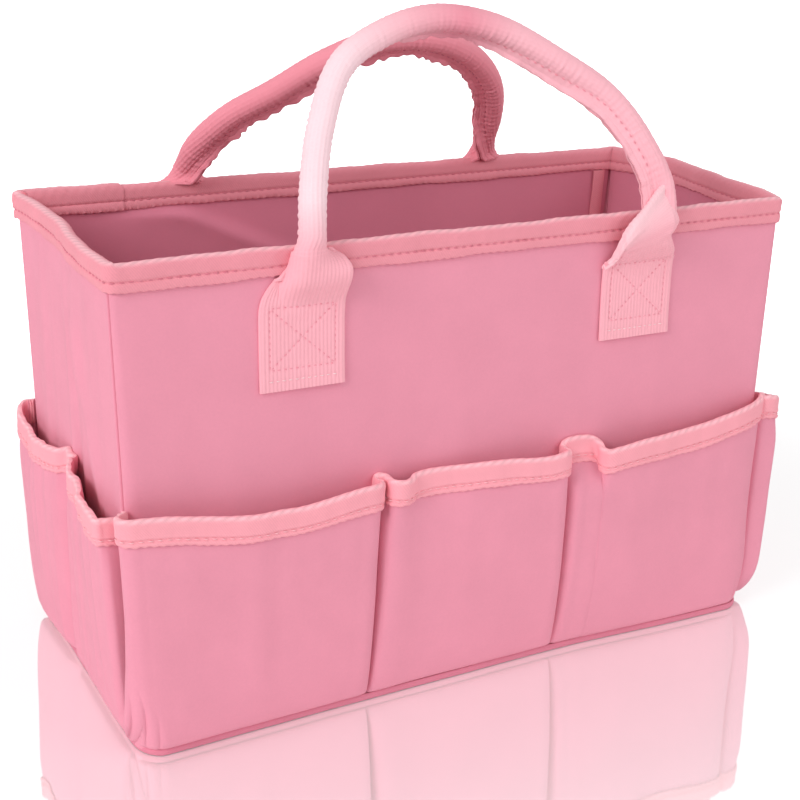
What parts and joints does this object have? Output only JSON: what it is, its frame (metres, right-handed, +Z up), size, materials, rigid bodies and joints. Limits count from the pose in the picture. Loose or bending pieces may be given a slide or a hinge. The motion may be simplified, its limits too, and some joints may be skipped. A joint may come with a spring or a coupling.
{
  "type": "storage tote",
  "caption": "Rectangular open-topped fabric craft tote with a bound rim, outside pockets on every side and webbing carrying handles.",
  "frame": {"origin": "centre of the base, on the surface that the tote stands on", "axes": "+X along the length, towards the right as seen from the front; +Z up; the front is at -Y"},
  "size_m": [0.3468, 0.1712, 0.3009],
  "materials": {
    "outer_fabric": "matt woven polyester, fine plain weave",
    "lining_fabric": "matt woven polyester lining",
    "webbing": "ribbed flat webbing, slight sheen",
    "binding_tape": "twill tape with lock-stitched edges",
    "stiffener_board": "plain hollow sheet",
    "handle_core": "soft filler cord"
  },
  "bodies": {
    "tote": {"front_panel": "outer_fabric", "back_panel": "outer_fabric", "left_gusset": "outer_fabric", "right_gusset": "outer_fabric", "base_panel": "outer_fabric", "front_board": "stiffener_board", "back_board": "stiffener_board", "left_board_rear": "stiffener_board", "left_board_front": "stiffener_board", "right_board_front": "stiffener_board", "right_board_rear": "stiffener_board", "base_board": "stiffener_board", "front_lining": "lining_fabric", "back_lining": "lining_fabric", "left_lining": "lining_fabric", "right_lining": "lining_fabric", "base_lining": "lining_fabric", "rim_binding": "binding_tape", "base_welt": "outer_fabric", "base_seam_tape": "binding_tape", "front_left_seam_tape": "binding_tape", "front_right_seam_tape": "binding_tape", "back_left_seam_tape": "binding_tape", "back_right_seam_tape": "binding_tape", "front_pocket_band": "outer_fabric", "back_pocket_band": "outer_fabric", "left_pocket_band": "outer_fabric", "right_pocket_band": "outer_fabric", "front_pocket_tape": "binding_tape", "back_pocket_tape": "binding_tape", "left_pocket_tape": "binding_tape", "right_pocket_tape": "binding_tape", "front_handle_left_tab": "webbing", "front_handle_right_tab": "webbing", "back_handle_left_tab": "webbing", "back_handle_right_tab": "webbing"},
    "front_handle": {"front_handle_webbing": "webbing", "front_handle_core": "handle_core"},
    "back_handle": {"back_handle_webbing": "webbing", "back_handle_core": "handle_core"}
  },
  "joints": [
    {"name": "front_handle_fold", "type": "hinge", "parent": "tote", "child": "front_handle", "pos_m": [0, -0.0732, 0.2095], "axis": [-1, 0, 0], "range_deg": [-170, 18]},
    {"name": "back_handle_fold", "type": "hinge", "parent": "tote", "child": "back_handle", "pos_m": [0, 0.0732, 0.2095], "axis": [1, 0, 0], "range_deg": [-188, 5]}
  ]
}
